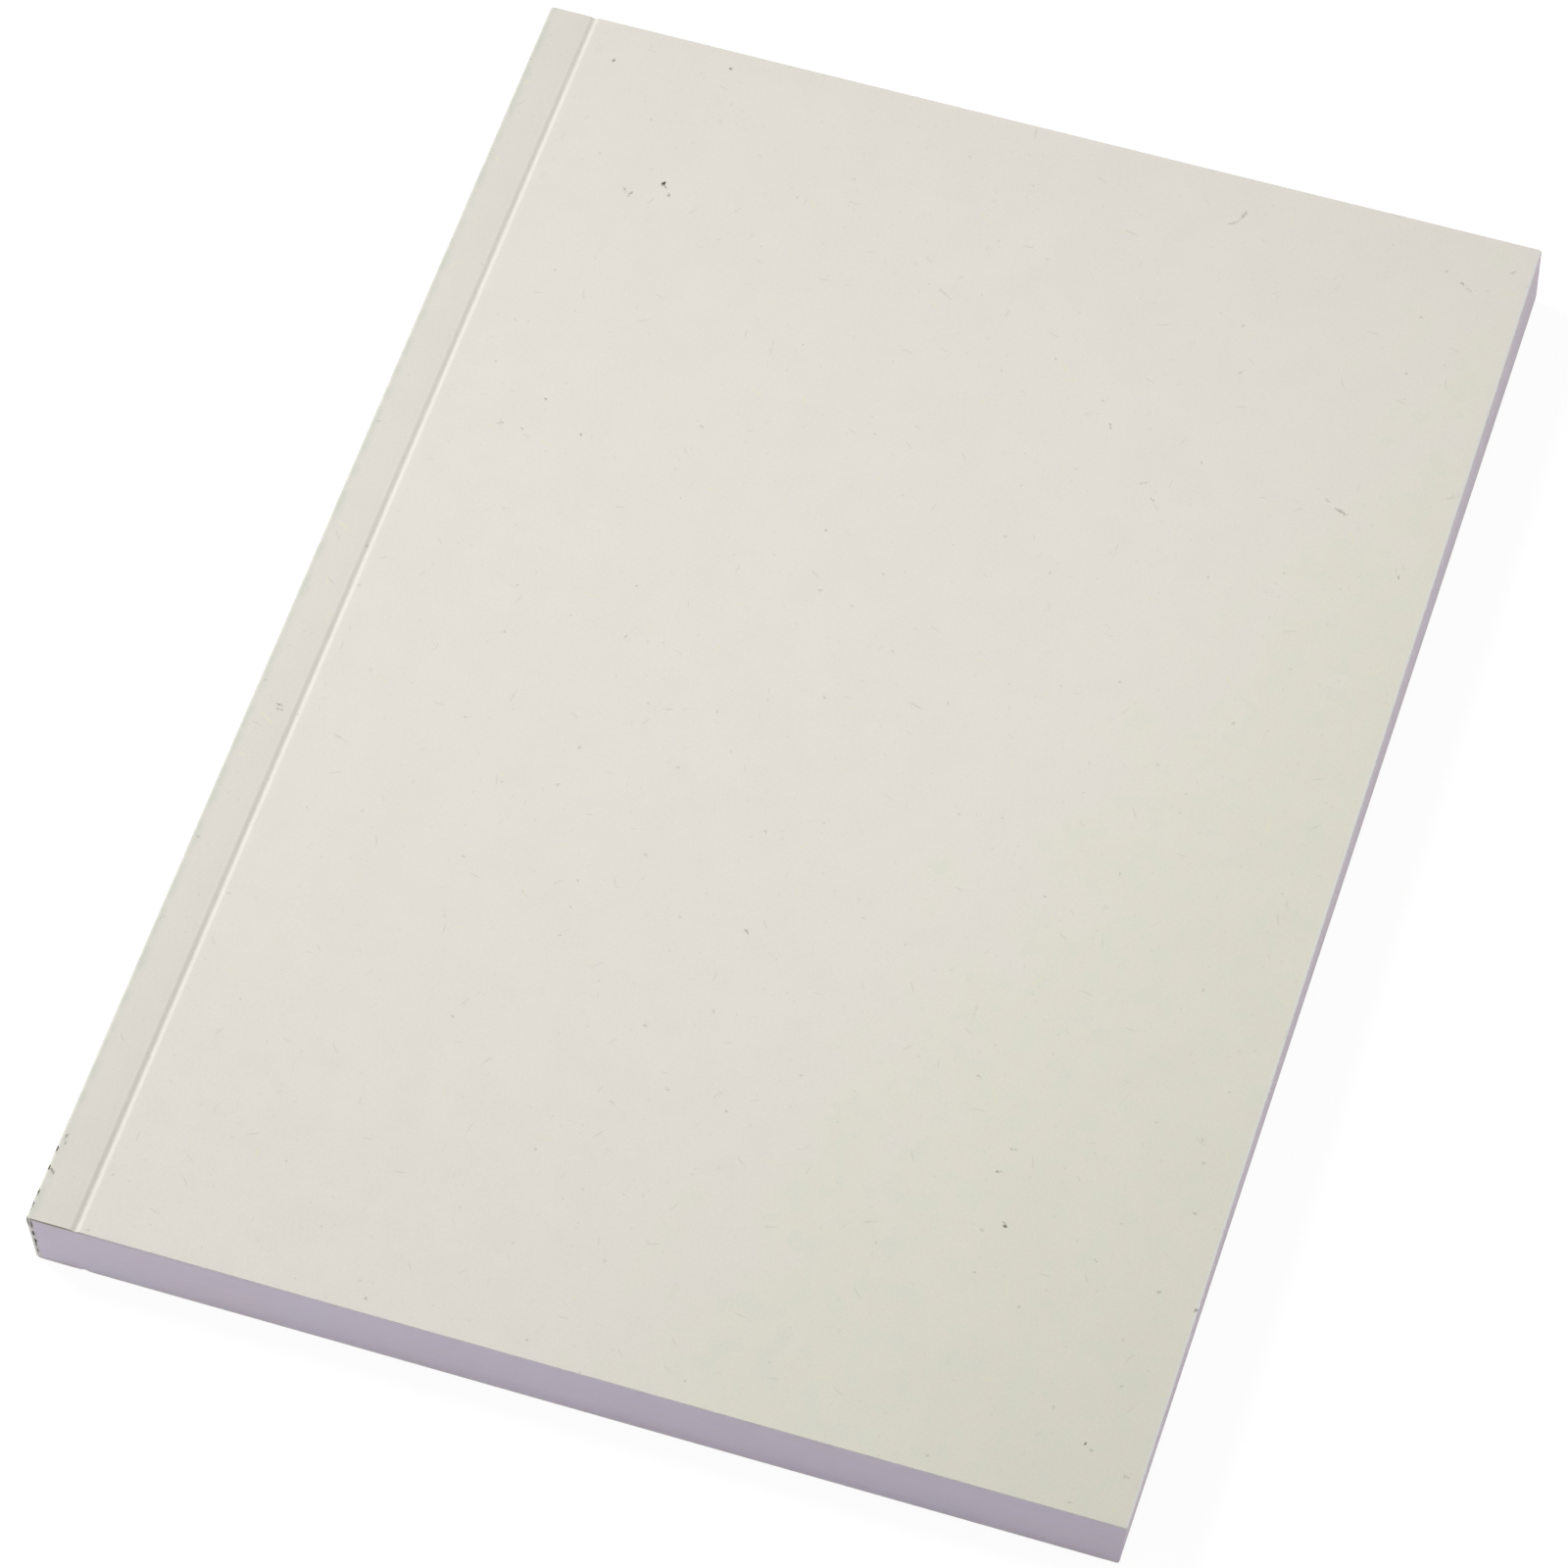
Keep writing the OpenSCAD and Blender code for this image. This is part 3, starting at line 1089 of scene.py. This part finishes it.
floor_paint = bpy.data.materials.new("white_floor")
floor_paint.use_nodes = True
tree = floor_paint.node_tree
tree.nodes.clear()
matt = put(tree, "BsdfDiffuse", {"Color": (0.8, 0.8, 0.8, 1)}).outputs[0]
glow = put(tree, "Emission", {"Color": (1, 1, 1, 1), "Strength": GLOW_STRENGTH}).outputs[0]
share = sums(tree, "MULTIPLY", seen_directly(tree), FLOOR_GLOW)
both = put(tree, "MixShader", {0: share, 1: matt, 2: glow}).outputs[0]
put(tree, "OutputMaterial", {"Surface": both})
floor.data.materials.append(floor_paint)

FILL = 0.293
world = bpy.data.worlds.new("studio")
bpy.context.scene.world = world
world.use_nodes = True
tree = world.node_tree
tree.nodes.clear()
fill = put(tree, "Background", {"Color": (1, 1, 1, 1), "Strength": FILL}).outputs[0]
white = put(tree, "Background", {"Color": (1, 1, 1, 1), "Strength": 1}).outputs[0]
both = put(tree, "MixShader", {0: seen_directly(tree), 1: fill, 2: white}).outputs[0]
put(tree, "OutputWorld", {"Surface": both})

# %% [markdown]
# # Light
# The crease has its dark wall on the spine's side and its bright wall on the other, so the main
# light comes from the spine's side, half way up, and a little from the head. One large soft lamp
# gives that. The tail and the fore edge face away from it: the pale surroundings fill them, and
# two weak, low lamps add what a photographer's reflector boards would.

# %% One soft lamp and two reflectors
def add_lamp(name, place, aim, power, size, spread):
    """A round soft lamp that looks at a point; spread narrows its beam, in degrees."""
    bpy.ops.object.select_all(action="DESELECT")
    bpy.ops.object.light_add(type="AREA", location=place)
    lamp = bpy.context.object
    lamp.name = name
    lamp.data.shape = "DISK"
    lamp.data.size = size
    lamp.data.spread = math.radians(spread)
    lamp.data.energy = power
    lamp.rotation_mode = "QUATERNION"
    lamp.rotation_quaternion = (Vector(aim) - Vector(place)).to_track_quat("-Z", "Y")
    return lamp


add_lamp("soft_lamp", (-0.729, 0.252, 0.873), (0.080, -0.015, 0.01), 1.15, 0.35, 60)
fill_lamp = add_lamp("fore_edge_fill", (0.9, 0.1, 0.22), (0.074, 0.0, 0.005), 1.15, 0.5, 120)
fill_lamp.data.color = (1.0, 1.0, 0.87)
add_lamp("tail_fill", (-0.38, -0.50, 0.12), (-0.05, -0.105, 0.005), 0.48, 0.4, 120)

# %% [markdown]
# # Camera
# The camera's place follows from the book's own corners: with the size of an A5 cover known, the
# four corners of the cover and the lower edge of the block fix the direction, the distance and
# the lens. It is a long lens, looking down from the tail at 57 degrees, and rolled by one degree.

# %% Set up the camera
AZIMUTH = math.radians(18.59)
ELEVATION = math.radians(57.414)
ROLL = math.radians(-0.93)
AIM = Vector((-0.90, -12.1, 10.5)) * MM
DISTANCE = 941.5 * MM
forward = Vector(
    (
        -math.sin(AZIMUTH) * math.cos(ELEVATION),
        math.cos(AZIMUTH) * math.cos(ELEVATION),
        -math.sin(ELEVATION),
    )
)
level_right = forward.cross(Vector((0, 0, 1))).normalized()
level_up = level_right.cross(forward)
right = math.cos(ROLL) * level_right + math.sin(ROLL) * level_up
up = right.cross(forward)
bpy.ops.object.select_all(action="DESELECT")
bpy.ops.object.camera_add()
camera = bpy.context.object
camera.data.sensor_width = 36
camera.data.lens = 160.71
camera.data.clip_start = 0.01
camera.data.clip_end = 20
placing = Matrix((right, up, -forward)).transposed().to_4x4()
placing.translation = AIM - forward * DISTANCE
camera.matrix_world = placing
bpy.context.scene.camera = camera
bpy.context.scene.view_settings.view_transform = "Standard"
print("camera, m:", [round(c, 4) for c in placing.translation])

# %% [markdown]
# # The size
# The dressed book must be as large as the CAD model.

# %% Finish
bpy.ops.object.select_all(action="DESELECT")
bpy.context.view_layer.update()
